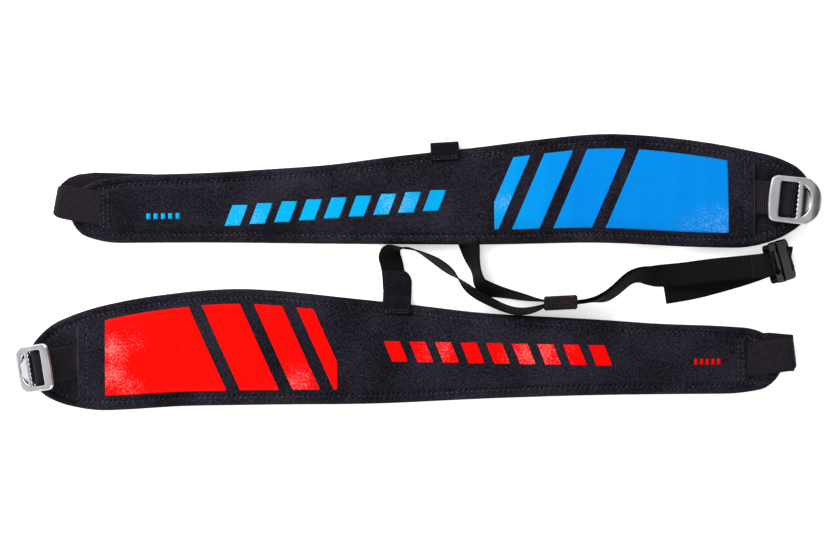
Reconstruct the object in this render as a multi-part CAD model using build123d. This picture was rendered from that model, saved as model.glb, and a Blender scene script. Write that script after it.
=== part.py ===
from build123d import *
from math import acos, atan2, cos, degrees, hypot, radians, sin, tan
import os

# Pair of padded harness shoulder straps joined by a chest strap, lying face up.
# Millimetres. +Z up, the resting plane is z = 0, the origin is the middle of the footprint,
# +X towards the right-hand strap's ladder lock and +Y towards the right-hand strap.

# ---- driving dimensions -------------------------------------------------------------------
LOAD_WIDTH = 30.0  # main webbing
LOAD_THICK = 1.5
CHEST_WIDTH = 20.0  # chest webbing
CHEST_THICK = 1.4
TAB_WIDTH = 25.0
TAB_THICK = 1.2
CENTRING = (0.658, 1.376)  # brings the middle of the footprint to the origin

LINING_THICK = 2.0
LINING_INSET = 1.0
COVER_SKIN = 1.0
PAD_TOP = 10.0  # top of the padded shell
PAD_ROUND = 4.0  # rounding of its upper edge
PANEL_INSET = 10.0  # from the pad's edge to the sewn face panel
PANEL_TOP = 14.2
CHANNEL_TOP = 13.4  # webbing channel below the face panel
CHANNEL_WIDTH = LOAD_WIDTH + 2.0
FILM_THICK = 0.25
FILM_MARGIN = 3.0  # bare fabric between the film and the panel's edge
THREAD = 0.8
THREAD_HIGH = 0.5
RIM_ROWS = (6.6, 8.6)  # stitch rows, inwards from the pad's edge

FIT = 0.05  # running clearance round a hinge bar
GAP = 0.3  # between pieces that move past each other
FLOOR_GAP = 0.4  # height of the loose webbing above the resting plane

# ladder lock, in its own frame: u towards the thumb tab, v across, w up, origin on the bar
BAR_R = 2.5
LOCK_REAR = -21.0
LOCK_FRONT = 18.5
LOCK_HALF = 20.3
LOCK_LOW = 2.2
LOCK_HIGH = 5.2
WINDOW_HALF = 15.7
REAR_WINDOW = (-11.0, 4.9)
FRONT_WINDOW = (9.4, 17.2)
FRONT_ARCH = 16.4  # radius of the front window's curved side
REAR_BOW = 100.0  # radius of the rear edge
WALL_HALF = 12.5
TAB_REACH = 27.5

# chest buckle, in its own frame: x from the upper (male) end to the lower end, z thickness
BUCKLE_HALF = 21.0
BUCKLE_WIDTH = 36.0
BUCKLE_THICK = 9.0
BUCKLE_WALL = 1.7
BUCKLE_AT = (313.4, 7.6, 25.6)
BUCKLE_YAW = 15.0
BUCKLE_LEAN = 60.0
PRONG_PIVOT = (-5.1, 10.5)
PRONG_ROOT = 2.4  # radius of a prong's root, and half its thickness

KEEPER_AT = (124.3, -28.2, 11.8)
KEEPER_LENGTH = 29.0
KEEPER_SIZE = (14.0, 23.0)
KEEPER_WALL = 1.1
TAB_FACE = PAD_TOP + THREAD_HIGH + 0.05 + TAB_THICK / 2  # a tab lies over the rim's thread
EDGE_LOW = 1.8  # lower edge of the webbing that stands on its edge

# One entry per strap. Outline points are in the pad's own frame: x from the narrow-end seam
# towards the ladder lock, y towards the edge that carries the chest tab.
SIDES = {
    "right": {
        "mirrored": False,
        "at": (-276.0, 54.5),
        "turn": 1.0,
        "outline": [
            (-30, 8), (-21, 18), (-4, 25.5), (30, 29), (95, 29.5), (147, 32), (200, 34.5),
            (252, 41), (331, 48), (383, 54), (436, 58.5), (488, 55), (541, 47), (590, 35.5),
            (613, 24), (624, 2), (616, -22), (594, -36.5), (565, -44.7), (513, -43),
            (434, -37), (346, -38), (211, -35), (94, -31.5), (3, -30.5), (-21, -23), (-30, -8),
        ],
        "panel_end": (570.0, 1.0),
        "loop": {"turn": 11.5, "bend": -42.3},
        "tail": [(-38, 22), (-30, 30), (-8, 32), (44, 29.5), (44, 0), (-12, 0), (-43, -3)],
        "bar": (601.4, 16.5),
        "lock_turn": -6.5,
        "droop": 5.0,
        "film": (342.0, 547.0),
        "dashes": (102.0, 297.0, -9.0, 3.3),
        "marks": (38.0, 70.0, -8.0),
    },
    "left": {
        "mirrored": True,
        "at": (284.0, -77.5),
        "turn": -0.2,
        "outline": [
            (-35, 6), (-28, 18), (-10, 27), (25, 29.5), (73, 31), (125, 35), (178, 38), (230, 41),
            (283, 48), (348, 55), (401, 61), (440, 63.5), (480, 61.5), (532, 55), (573, 46),
            (606, 33), (625, 13), (627, -10), (615, -28.5), (597, -37.5), (568, -43.5),
            (538, -42.5), (493, -39.5), (400, -38.5), (322, -38.5), (230, -34), (125, -31),
            (5, -30.5), (-22, -26), (-35, -11),
        ],
        "panel_end": (582.0, 2.0),
        "loop": {"turn": 6.6, "bend": -46.0},
        "tail": [(-45, 21), (-24, 23), (44, 18), (44, -12), (-12, -11), (-46, -11)],
        "bar": (616.0, 23.0),
        "lock_turn": -9.0,
        "droop": 40.0,
        "film": (355.0, 558.0),
        "dashes": (110.0, 311.0, 3.5, 1.3),
        "marks": (20.0, 45.0, -2.0),
    },
}


# ---- small helpers ------------------------------------------------------------------------
def plate(face, low, high):
    """A flat shape between two heights."""
    return Pos(0, 0, low) * extrude(face, high - low)


def block(x0, x1, y0, y1, z0, z1):
    """A box from its limits."""
    return Pos((x0 + x1) / 2, (y0 + y1) / 2, (z0 + z1) / 2) * Box(x1 - x0, y1 - y0, z1 - z0)


def corner_radii(points, largest=1e6):
    """The largest tangent arc at each inner point of a route."""
    radii = []
    for a, b, c in zip(points, points[1:], points[2:]):
        first = Vector(*b) - Vector(*a)
        second = Vector(*c) - Vector(*b)
        half_turn = radians(first.get_angle(second)) / 2
        shorter = min(first.length, second.length)
        radii.append(min(largest, 0.45 * shorter / tan(half_turn)))
    return radii


def route(points, largest=1e6):
    """Straight runs joined by tangent arcs."""
    return FilletPolyline(*points, radius=corner_radii(points, largest))


def strip(path, width, thick):
    """Webbing whose path is drawn in XY and which is as wide as it is high."""
    return extrude(trace(path, thick), width)


def upright_strip(path, width, thick):
    """Webbing whose path is drawn in XZ, centred across Y."""
    drawn = strip(path, width, thick)
    return Pos(0, width / 2, 0) * Rot(90, 0, 0) * drawn


def place(shape, side):
    """From a pad's own frame to the object's frame."""
    solids = [Rot(0, 0, side["turn"]) * solid for solid in shape.solids()]
    if side["mirrored"]:
        solids = [solid.mirror(Plane.YZ) for solid in solids]
    return Compound([Pos(*side["at"], 0) * solid for solid in solids])


# ---- padded shell -------------------------------------------------------------------------
def pad_face(side, inset=0.0):
    """The pad's outline as a face, drawn in by an inset. The outline runs clockwise."""
    points = [Vector(*point) for point in side["outline"]]
    ring = [points[-1], *points, points[0]]
    corners, radii = [], []
    for before, here, after, radius in zip(ring, ring[1:], ring[2:], corner_radii(ring)):
        first = (here - before).normalized()
        second = (after - here).normalized()
        inwards = first.rotate(Axis.Z, -90) + second.rotate(Axis.Z, -90)
        corners.append(here + inwards * (inset / (1 + first.dot(second))))
        turns_in = first.cross(second).Z < 0
        radii.append(radius - inset if turns_in else radius + inset)
    return make_face(FilletPolyline(*corners, radius=radii, close=True))


def round_top(solid, radius):
    """Rounds the upper edge of a plate."""
    top = solid.faces().sort_by(Axis.Z)[-1]
    return fillet(top.edges(), radius)


def pad_layers(side):
    """Back lining, foam core and front cover."""
    foam = round_top(plate(pad_face(side, COVER_SKIN), LINING_THICK, PAD_TOP - COVER_SKIN), 3.0)
    outer = round_top(plate(pad_face(side), LINING_THICK, PAD_TOP), PAD_ROUND)
    pocket = plate(make_face(Polyline(*side["tail"], close=True)), 0, LOAD_THICK + 0.1)
    lining = plate(pad_face(side, LINING_INSET), 0, LINING_THICK) - pocket
    return {"back_lining": lining, "foam_core": foam, "front_cover": outer - foam}


def rim_stitching(side):
    """Two rows of thread that follow the pad's edge."""
    rows = []
    for inset in RIM_ROWS:
        ring = pad_face(side, inset) - pad_face(side, inset + THREAD)
        rows.append(plate(ring, PAD_TOP, PAD_TOP + THREAD_HIGH))
    return Compound([solid for row in rows for solid in row.solids()])


def panel_face(side, inset):
    """The face panel's outline, cut straight at both ends."""
    end, slant = side["panel_end"]
    limit = make_face(
        Polyline((-2, -90), (end - slant, -90), (end + slant, 90), (-2, 90), close=True)
    )
    return pad_face(side, inset) & limit


def face_sleeve(side):
    """The sewn face panel, with the channel that the main webbing runs through."""
    panel = plate(panel_face(side, PANEL_INSET), PAD_TOP, PANEL_TOP)
    half = CHANNEL_WIDTH / 2
    return panel - block(-60, 700, -half, half, PAD_TOP - 1, CHANNEL_TOP)


def sleeve_stitching(side):
    """Two rows across the narrow end and one inside the mouth."""
    end, _ = side["panel_end"]
    half = LOAD_WIDTH / 2
    rows = [
        block(x, x + THREAD, -half, half, PANEL_TOP, PANEL_TOP + THREAD_HIGH)
        for x in (0.5, 4.5, end - 8)
    ]
    return Compound([solid for row in rows for solid in row.solids()])


# ---- printed films, all plain geometric shapes ---------------------------------------------
def slanted_bar(x, width, low, high, slant):
    """A parallelogram that leans along x."""
    lean = slant * (high - low)
    return make_face(
        Polyline((x, low), (x + width, low), (x + width + lean, high), (x + lean, high), close=True)
    )


def emblem_film(side):
    """Slanted stripes that widen towards the ladder lock, ending in a straight edge."""
    start, end = side["film"]
    field = panel_face(side, PANEL_INSET + FILM_MARGIN)
    field = field & make_face(
        Polyline((start, -90), (end, -90), (end, 90), (start, 90), close=True)
    )
    stripes = []
    x = start - 40
    for width in (14, 24, 34, 160):
        stripes.append(slanted_bar(x, width, -90, 90, 0.45))
        x += width + 12
    shapes = [plate(field & stripe, PANEL_TOP, PANEL_TOP + FILM_THICK) for stripe in stripes]
    return Compound([solid for shape in shapes for solid in shape.solids()])


def stripe_film(side):
    """A row of equal slanted dashes along the middle of the pad."""
    start, end, middle, rise = side["dashes"]
    count = 9
    pitch = (end - start) / count
    dashes = []
    for i in range(count):
        dash = slanted_bar(-0.3 * pitch, 0.62 * pitch, -9, 9, 0.4)
        along = start + (i + 0.5) * pitch
        up = middle + (along - start) * sin(radians(rise))
        dashes.append(plate(Pos(along, up) * dash, PANEL_TOP, PANEL_TOP + FILM_THICK))
    return Compound([solid for dash in dashes for solid in dash.solids()])


def side_mark(side):
    """Small plain bars near the narrow end."""
    start, end, middle = side["marks"]
    count = 5
    pitch = (end - start) / count
    bars = [
        block(start + i * pitch, start + (i + 0.6) * pitch, middle - 2.5, middle + 2.5,
              PANEL_TOP, PANEL_TOP + FILM_THICK)
        for i in range(count)
    ]
    return Compound([solid for bar in bars for solid in bar.solids()])


# ---- main webbing -------------------------------------------------------------------------
UPPER_RUN = CHANNEL_TOP - 0.1 - LOAD_THICK / 2
LOWER_RUN = PAD_TOP + 0.1 + LOAD_THICK / 2
WEBBING_START = -4.0  # where the flat run meets the end loop


def load_webbing(side):
    """The flat run inside the sleeve."""
    end, _ = side["panel_end"]
    half = LOAD_WIDTH / 2
    low = UPPER_RUN - LOAD_THICK / 2
    return block(WEBBING_START, end - 15, -half, half, low, low + LOAD_THICK)


def end_loop(side):
    """Out of the narrow-end seam, round the end of the pad and down to its back."""
    loop = side["loop"]
    low = LOAD_THICK / 2
    radius = (UPPER_RUN - low) / 2
    bend = loop["bend"] + radius + LOAD_THICK / 2 - WEBBING_START
    reach = bend / cos(radians(loop["turn"]))
    top = Line((3.5, UPPER_RUN), (reach, UPPER_RUN))
    arc = CenterArc((reach, UPPER_RUN - radius), radius, 90, 180)
    web = upright_strip(Wire([*top.edges(), *arc.edges()]), LOAD_WIDTH, LOAD_THICK)
    return Pos(WEBBING_START, 0, 0) * Rot(0, 0, -loop["turn"]) * web - load_webbing(side)


def loop_tail(side):
    """The flat tail sewn under the pad, level with its back."""
    tail = plate(make_face(Polyline(*side["tail"], close=True)), 0, LOAD_THICK)
    return tail - end_loop(side)


def swing(shape, side):
    """Turns what hangs outside the sleeve's mouth in plan, about the mouth."""
    mouth = side["panel_end"][0] + 1
    return Pos(mouth, 0, 0) * Rot(0, 0, side["lock_turn"]) * Pos(-mouth, 0, 0) * shape


def buckle_webbing(side):
    """Out of the sleeve's mouth, round the ladder lock's bar and back into the sleeve."""
    end, _ = side["panel_end"]
    bar_x, bar_z = side["bar"]
    radius = BAR_R + FIT + LOAD_THICK / 2
    half_w, half_t = LOAD_WIDTH / 2, LOAD_THICK / 2

    def tangent(start, sign):
        across, up = bar_x - start[0], bar_z - start[1]
        far = hypot(across, up)
        angle = atan2(up, across) + sign * (acos(radius / far) - radians(180))
        return degrees(angle)

    upper_mouth, lower_mouth = (end + 3, UPPER_RUN), (end + 3, LOWER_RUN)
    upper = tangent(upper_mouth, -1)
    lower = tangent(lower_mouth, 1)

    def on_bar(angle):
        return bar_x + radius * cos(radians(angle)), bar_z + radius * sin(radians(angle))

    out = FilletPolyline((end - 1, UPPER_RUN), upper_mouth, on_bar(upper), radius=6)
    back = FilletPolyline(on_bar(lower), lower_mouth, (end - 1, LOWER_RUN), radius=6)
    sweep = (upper - lower) % 360
    wrap = CenterArc((bar_x, bar_z), radius, upper, -sweep)
    path = Wire([*out.edges(), *wrap.edges(), *back.edges()])
    loop = swing(upright_strip(path, LOAD_WIDTH, LOAD_THICK), side)
    hidden = [
        block(end - length, end + 1, -half_w, half_w, z - half_t, z + half_t)
        for length, z in ((15, UPPER_RUN), (55, LOWER_RUN))
    ]
    return loop.fuse(*hidden)


# ---- ladder lock --------------------------------------------------------------------------
def lock_disc():
    """The round end of the lock in plan."""
    return Pos(TAB_REACH - LOCK_HALF, 0) * Circle(LOCK_HALF)


def ladder_lock_shape():
    """The cast frame, its web bar, toothed bar, guide wall and curved thumb tab."""
    middle = (LOCK_REAR + LOCK_FRONT) / 2
    rear = Pos(LOCK_REAR + LOCK_HALF, 0) * RectangleRounded(2 * LOCK_HALF, 2 * LOCK_HALF, 8.0)
    square = Pos(middle, 0) * Rectangle(LOCK_FRONT - LOCK_REAR, 2 * LOCK_HALF)
    bowed = Pos(LOCK_REAR + REAR_BOW, 0) * Circle(REAR_BOW)
    outline = (rear + lock_disc()) & square & bowed
    rear_mid = sum(REAR_WINDOW) / 2
    rear_long = REAR_WINDOW[1] - REAR_WINDOW[0]
    front_mid = sum(FRONT_WINDOW) / 2
    front_long = FRONT_WINDOW[1] - FRONT_WINDOW[0]
    rear_hole = Pos(rear_mid, 0) * RectangleRounded(rear_long, 2 * WINDOW_HALF, 1.8)
    arch = Pos(FRONT_WINDOW[1] - FRONT_ARCH, 0) * Circle(FRONT_ARCH)
    front_hole = Pos(front_mid, 0) * Rectangle(front_long, 2 * WINDOW_HALF) & arch
    body = plate(outline - rear_hole - front_hole, LOCK_LOW, LOCK_HIGH)
    body = fillet(body.faces().sort_by(Axis.Z)[-1].outer_wire().edges(), 1.2)
    tooth = Rot(0, 0, 45) * Rectangle(1.5, 1.5)
    teeth = [plate(Pos(REAR_WINDOW[1] + 0.1, v) * tooth, LOCK_LOW, LOCK_HIGH) for v in
             range(-12, 13, 4)]
    cheek = block(-5, 5, WINDOW_HALF, LOCK_HALF - 1, -BAR_R - 0.5, LOCK_LOW + 0.5)
    cheeks = [cheek, cheek.mirror(Plane.XZ)]
    bar = Rot(90, 0, 0) * Cylinder(BAR_R, 2 * WINDOW_HALF + 2)
    return body.fuse(*[b - bore_of_teeth() for b in teeth], *cheeks, bar, guide_wall(), thumb_tab())


def bore_of_teeth():
    """Keeps the teeth clear of the webbing wrapped round the bar."""
    return Rot(90, 0, 0) * Cylinder(BAR_R + FIT + LOAD_THICK + GAP, 4 * WINDOW_HALF)


def guide_wall():
    """The sloping wall below the front window."""
    wall = Polyline((18.2, 4.0), (11.2, -3.4), (9.6, -2.0), (16.6, 5.2), (18.2, 5.2), close=True)
    solid = extrude(make_face(wall), 2 * WALL_HALF)
    solid = Pos(0, WALL_HALF, 0) * Rot(90, 0, 0) * solid
    return solid & plate(lock_disc(), -10, LOCK_HIGH - 0.6)


def thumb_tab():
    """A half-moon lip that curves down from the front edge."""
    drop = Spline((17.4, 4.1), (22.5, 3.2), (TAB_REACH, -0.6))
    lip = Pos(0, LOCK_HALF, 0) * Rot(90, 0, 0) * extrude(trace(drop, 2.2), 2 * LOCK_HALF)
    keep = block(LOCK_FRONT - 1.4, 40, -LOCK_HALF, LOCK_HALF, -10, 10)
    return lip & plate(lock_disc(), -10, 10) & keep


def ladder_lock(side):
    """The lock on its bar, turned in plan and drooping at its tab."""
    bar_x, bar_z = side["bar"]
    return swing(Pos(bar_x, 0, bar_z) * Rot(0, side["droop"], 0) * ladder_lock_shape(), side)


# ---- chest tabs ---------------------------------------------------------------------------
def right_tab():
    """A band folded over the right-hand pad's upper edge."""
    path = FilletPolyline((-9.4, TAB_FACE), (5.6, TAB_FACE), (5.6, 1.1), (-14, 1.1), radius=4.0)
    drawn = extrude(trace(path, TAB_THICK), TAB_WIDTH)
    return Pos(23.0, 106.2, 0) * Rot(0, 0, 3.5) * Pos(-TAB_WIDTH / 2, 0, 0) * upright_yz(drawn)


def left_tab():
    """A tongue sewn on the left-hand pad's upper edge, lying down to the floor beyond it."""
    path = FilletPolyline((-9.4, TAB_FACE), (1.4, TAB_FACE), (7.4, 2.4), (28.5, 2.4), radius=4.0)
    drawn = extrude(trace(path, TAB_THICK), TAB_WIDTH)
    return Pos(-18.9, -28.2, 0) * Rot(0, 0, -2.0) * Pos(-TAB_WIDTH / 2, 0, 0) * upright_yz(drawn)


def upright_yz(shape):
    """Turns a shape drawn in XY and raised along Z so that it is drawn in YZ and spans X."""
    return Rot(0, 90, 0) * Rot(0, 0, 90) * shape


def tab_stitching(at, turn):
    """Two short rows across a tab's sewn end."""
    half = TAB_WIDTH / 2 - 2
    low = TAB_FACE + TAB_THICK / 2
    rows = [block(-half, half, y, y + THREAD, low, low + THREAD_HIGH) for y in (-8.6, -6.4)]
    return Pos(*at, 0) * Rot(0, 0, turn) * rows[0].fuse(rows[1])


# ---- chest webbing ------------------------------------------------------------------------
LEFT_EDGE_ROUTE = [
    (-29, 20.2), (-8, 19.2), (14, 9.2), (33, -6.0), (52, -21.0), (76, -32.0), (97, -31.5),
    (107, -29.2), (146, -29.1),
]
RIGHT_EDGE_ROUTE = [
    (44.5, 15.0), (49.5, 0.0), (60, -14.5), (80, -21.0), (98, -26.5), (107, -27.2), (146, -27.3),
]
LEFT_BEND_ROUTE = [(146.2, -28), (158, -28), (172, -19), (186, -7), (207, -5)]
LEFT_RISE_ROUTE = [(207.4, 5.1), (232, 7.0), (262, 18.5), (284, 32.0), (299, 42.4)]
RIGHT_FLAT_ROUTE = [(146.2, -27), (158, -27), (172, -20), (187, -9), (207, -7), (262, -2), (322, 6)]
TAIL_ROUTE = [(216, -19.5), (262, -11.5), (322, 2)]


def standing(points):
    """Chest webbing that stands on its edge."""
    return Pos(0, 0, EDGE_LOW) * strip(route(points), CHEST_WIDTH, CHEST_THICK)


def lying(points, low):
    """Chest webbing that lies flat and bends in plan."""
    face = trace(route(points, 400), CHEST_WIDTH)
    return plate(face, low, low + CHEST_THICK)


def left_rise():
    """The top strap's climb to the buckle's upper end."""
    x0, y0 = LEFT_BEND_ROUTE[-1]
    web = upright_strip(route([(x - x0, z) for x, z in LEFT_RISE_ROUTE]), CHEST_WIDTH, CHEST_THICK)
    return Pos(x0, y0, 0) * Rot(0, 0, 5.0) * web


def right_anchor():
    """The flat run below the right-hand pad, from its tab to its lower edge."""
    start, end = Vector(22.5, 88.5), Vector(45.5, 11.0)
    across = end - start
    web = block(0, across.length, -CHEST_WIDTH / 2, CHEST_WIDTH / 2, FLOOR_GAP, EDGE_LOW)
    return Pos(start.X, start.Y, 0) * Rot(0, 0, degrees(atan2(across.Y, across.X))) * web


def left_base():
    """The flat run from under the left-hand tab to the fold."""
    half = CHEST_WIDTH / 2
    return Pos(-21.5, 0, 0) * block(-half, half, -17, 21.0, FLOOR_GAP, EDGE_LOW)


def keeper():
    """The fabric loop that holds both chest webbings together."""
    wide, high = KEEPER_SIZE
    outer = RectangleRounded(wide, high, 5.0)
    inner = RectangleRounded(wide - 2 * KEEPER_WALL, high - 2 * KEEPER_WALL, 3.9)
    tube = extrude(outer - inner, KEEPER_LENGTH)
    return Pos(*KEEPER_AT) * Pos(-KEEPER_LENGTH / 2, 0, 0) * Rot(0, 90, 0) * Rot(0, 0, 90) * tube


# ---- chest buckle -------------------------------------------------------------------------
def buckle_place(shape):
    """From the buckle's own frame to the object's frame."""
    return Pos(*BUCKLE_AT) * Rot(0, 0, BUCKLE_YAW) * Rot(0, BUCKLE_LEAN, 0) * shape


def buckle_female():
    """The lower shell, with side windows and a webbing bar."""
    half_w, half_t = BUCKLE_WIDTH / 2, BUCKLE_THICK / 2
    shell = block(-5.0, BUCKLE_HALF, -half_w, half_w, -half_t, half_t)
    shell = fillet(shell.edges().filter_by(Axis.Z).sort_by(Axis.X)[-2:], 5.0)
    shell = fillet(shell.edges().filter_by(Axis.X), 2.0)
    inner_w, inner_t = half_w - BUCKLE_WALL, half_t - BUCKLE_WALL
    shell = shell - block(-6, 11.5, -inner_w, inner_w, -inner_t, inner_t)
    shell = shell - block(-0.5, 10.5, -30, 30, -inner_t, inner_t)
    slot = CHEST_WIDTH / 2 + 0.8
    shell = shell - block(13.6, 17.4, -slot, slot, -10, 10)
    return shell


def buckle_male():
    """The upper half: webbing bars, shoulder and centre guide."""
    half_w = BUCKLE_WIDTH / 2 - 1
    slot = CHEST_WIDTH / 2 + 0.8
    base = block(-BUCKLE_HALF, -5.6, -half_w, half_w, -3.4, 3.4)
    base = fillet(base.edges().filter_by(Axis.Z).sort_by(Axis.X)[:2], 4.0)
    base = base - block(-17.4, -13.4, -slot, slot, -10, 10)
    x, y = PRONG_PIVOT
    guide = block(-6, 10.8, -2.6, 2.6, -2.3, 2.3)
    body = base + guide
    for sign in (-1, 1):
        body = body - Pos(x, sign * y, 0) * Cylinder(PRONG_ROOT + GAP, 12)
    return body


def prong(sign):
    """One sprung arm with its barb in the side window."""
    x, y = PRONG_PIVOT
    root = Circle(PRONG_ROOT)
    arm = make_face(Polyline((0, -1.9), (13.5, -1.2), (14.6, 3.2), (12.6, 6.6), (5.6, 7.0),
                             (4.6, 4.2), (0, 2.2), close=True))
    flat = Pos(x, sign * y) * (root + arm if sign > 0 else root + arm.mirror(Plane.XZ))
    return plate(flat, -PRONG_ROOT, PRONG_ROOT)


# ---- assembly -----------------------------------------------------------------------------
def side_parts(name, side):
    """Every piece of one padded strap, by node name."""
    parts = pad_layers(side)
    parts["rim_stitching"] = rim_stitching(side)
    parts["face_sleeve"] = face_sleeve(side)
    parts["sleeve_stitching"] = sleeve_stitching(side)
    parts["emblem_film"] = emblem_film(side)
    parts["stripe_film"] = stripe_film(side)
    parts["side_mark"] = side_mark(side)
    parts["load_webbing"] = load_webbing(side)
    parts["end_loop_webbing"] = end_loop(side)
    parts["end_loop_tail"] = loop_tail(side)
    parts["buckle_webbing"] = buckle_webbing(side)
    parts["ladder_lock"] = ladder_lock(side)
    return {f"{name}_{part}": place(shape, side) for part, shape in parts.items()}


def all_parts():
    """The whole object, by node name."""
    parts = {}
    for name, side in SIDES.items():
        parts.update(side_parts(name, side))
    parts["right_chest_tab"] = right_tab()
    parts["left_chest_tab"] = left_tab()
    parts["right_tab_stitching"] = tab_stitching((23.0, 106.2), 3.5)
    parts["left_tab_stitching"] = tab_stitching((-18.9, -28.2), -2.0)
    parts["right_chest_anchor"] = right_anchor()
    parts["right_chest_webbing_edge"] = standing(RIGHT_EDGE_ROUTE)
    parts["right_chest_webbing_flat"] = lying(RIGHT_FLAT_ROUTE, 2.2)
    parts["left_chest_webbing_base"] = left_base()
    parts["left_chest_webbing_edge"] = standing(LEFT_EDGE_ROUTE)
    parts["left_chest_webbing_bend"] = lying(LEFT_BEND_ROUTE, 4.4)
    parts["left_chest_webbing_rise"] = left_rise()
    parts["chest_webbing_tail"] = lying(TAIL_ROUTE, FLOOR_GAP)
    parts["chest_keeper"] = keeper()
    parts["chest_buckle_female"] = buckle_place(buckle_female())
    parts["chest_buckle_male"] = buckle_place(buckle_male())
    parts["chest_buckle_prong_a"] = buckle_place(prong(1))
    parts["chest_buckle_prong_b"] = buckle_place(prong(-1))
    anchor_pocket = right_anchor() + right_tab()
    parts["right_back_lining"] = parts["right_back_lining"] - anchor_pocket
    return {node: Pos(*CENTRING, 0) * shape for node, shape in parts.items()}


if __name__ == "__main__":
    os.makedirs("parts", exist_ok=True)
    built = all_parts()
    for node, shape in built.items():
        export_step(shape, f"parts/{node}.step")
    print("nodes", len(built))
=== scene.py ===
import math

import bmesh
import bpy
import numpy as np
from mathutils import Matrix, Vector
from mathutils.bvhtree import BVHTree


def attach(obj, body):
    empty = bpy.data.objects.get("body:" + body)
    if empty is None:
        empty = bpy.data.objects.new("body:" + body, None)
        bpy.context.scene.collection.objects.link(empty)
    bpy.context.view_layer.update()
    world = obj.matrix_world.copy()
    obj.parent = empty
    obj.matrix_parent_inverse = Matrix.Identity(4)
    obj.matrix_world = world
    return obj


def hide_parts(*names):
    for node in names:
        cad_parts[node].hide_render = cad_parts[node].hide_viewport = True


# A pair of padded harness shoulder straps joined by a chest strap, lying face up on a floor.
# Sizes are in millimetres in each strap's own frame (x from the narrow end to the ladder lock),
# and go to metres in the row frame when a mesh is made.

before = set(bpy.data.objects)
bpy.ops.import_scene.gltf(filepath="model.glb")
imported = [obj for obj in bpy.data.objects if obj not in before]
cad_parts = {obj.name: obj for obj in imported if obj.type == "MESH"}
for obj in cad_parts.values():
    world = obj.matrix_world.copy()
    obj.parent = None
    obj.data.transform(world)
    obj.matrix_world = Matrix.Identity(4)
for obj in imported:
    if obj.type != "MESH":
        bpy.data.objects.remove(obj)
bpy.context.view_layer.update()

MM = 0.001
SHIFT = (0.658, 1.376)  # from the layout's origin to the middle of the footprint
LOAD_WIDTH = 29.6
LOAD_THICK = 1.4
CHEST_WIDTH = 20.0
CHEST_THICK = 1.3
TAB_WIDTH = 25.0
TAB_THICK = 1.2
TAB_FACE = 11.15  # height of a tab's middle where it lies on the pad
UPPER_RUN = 12.55  # height of the main webbing's upper run inside the sleeve
LOWER_RUN = 10.9
BAR_R = 2.5  # radius of a ladder lock's bar
SEAMS = (7.0, 9.0)  # the two stitch rows, inwards from the pad's edge
PANEL_INSET = 9.7
PANEL_START = -2.0  # x of the panel's narrow end
FILM_INSET = 13.0  # from the pad's edge to the prints
PANEL_TOP = 13.95
PANEL_EDGE = 9.75
PANEL_THICK = 0.55
FOLD_ROW = 8.2  # from the panel's wide end to the stitch row along its fold
CHANNEL_HALF = 15.8  # half the width of the raised webbing channel
COVER_TOP = 10.0
HALF_STEPS = 400  # points along each long edge of a pad

SIDES = {
    "right": {
        "mirror": 1, "at": (-276.0, 54.5), "turn": 1.0, "end": (570.0, 1.0),
        "loop": (11.5, -42.3), "bar": (601.4, 16.5), "lock_turn": -6.5,
        "tail": [(-43, -3), (-43, 8), (-41, 16), (-37, 22.5), (-30.5, 27.5), (-22, 30.4),
                 (-8, 31.8), (44, 29.5), (44, 0), (-12, 0)],
        "film": (342.0, 547.0), "dashes": (102.0, 297.0, -9.0, 3.3), "marks": (38.0, 70.0, -8.0),
    },
    "left": {
        "mirror": -1, "at": (284.0, -77.5), "turn": -0.2, "end": (582.0, 2.0),
        "loop": (6.6, -46.0), "bar": (616.0, 23.0), "lock_turn": -9.0,
        "tail": [(-45, 21), (-24, 23), (44, 18), (44, -12), (-12, -11), (-46, -11)],
        "film": (355.0, 558.0), "dashes": (110.0, 311.0, 3.5, 1.3), "marks": (20.0, 45.0, -2.0),
    },
}


# ---- placing -----------------------------------------------------------------------------
def rotated(x, y, degrees):
    """Points in plan, turned anticlockwise about the origin."""
    a = math.radians(degrees)
    return x * math.cos(a) - y * math.sin(a), x * math.sin(a) + y * math.cos(a)


def placed(side, points):
    """From a strap's own frame in millimetres to the row frame in metres."""
    p = np.asarray(points, float)
    x, y = rotated(p[:, 0], p[:, 1], side["turn"])
    x = side["mirror"] * x + side["at"][0] + SHIFT[0]
    y = y + side["at"][1] + SHIFT[1]
    return np.stack([x, y, p[:, 2]], axis=1) * MM


def unplaced(side, points):
    """From the row frame in metres to a strap's own frame in millimetres, in plan."""
    p = np.asarray(points, float) / MM
    x = side["mirror"] * (p[:, 0] - side["at"][0] - SHIFT[0])
    y = p[:, 1] - side["at"][1] - SHIFT[1]
    return np.stack(rotated(x, y, -side["turn"]), axis=1)


def swung(side, points):
    """Turns what hangs outside the sleeve's mouth in plan, about the mouth."""
    p = np.array(points, float)
    mouth = side["end"][0] + 1
    x, y = rotated(p[:, 0] - mouth, p[:, 1], side["lock_turn"])
    return np.stack([mouth + x, y, p[:, 2]], axis=1)


def shifted(points):
    """From the layout's millimetres to the row frame in metres."""
    p = np.asarray(points, float)
    return (p + np.array([SHIFT[0], SHIFT[1], 0.0])) * MM


def panel_end(side, y):
    """Where the face panel's wide end is at some y: it is cut a little askew."""
    end, slant = side["end"]
    return end + slant * y / 90


# ---- mesh helpers ------------------------------------------------------------------------
def linked(name, data):
    """A new object in the scene."""
    obj = bpy.data.objects.new(name, data)
    bpy.context.scene.collection.objects.link(obj)
    return obj


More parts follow.
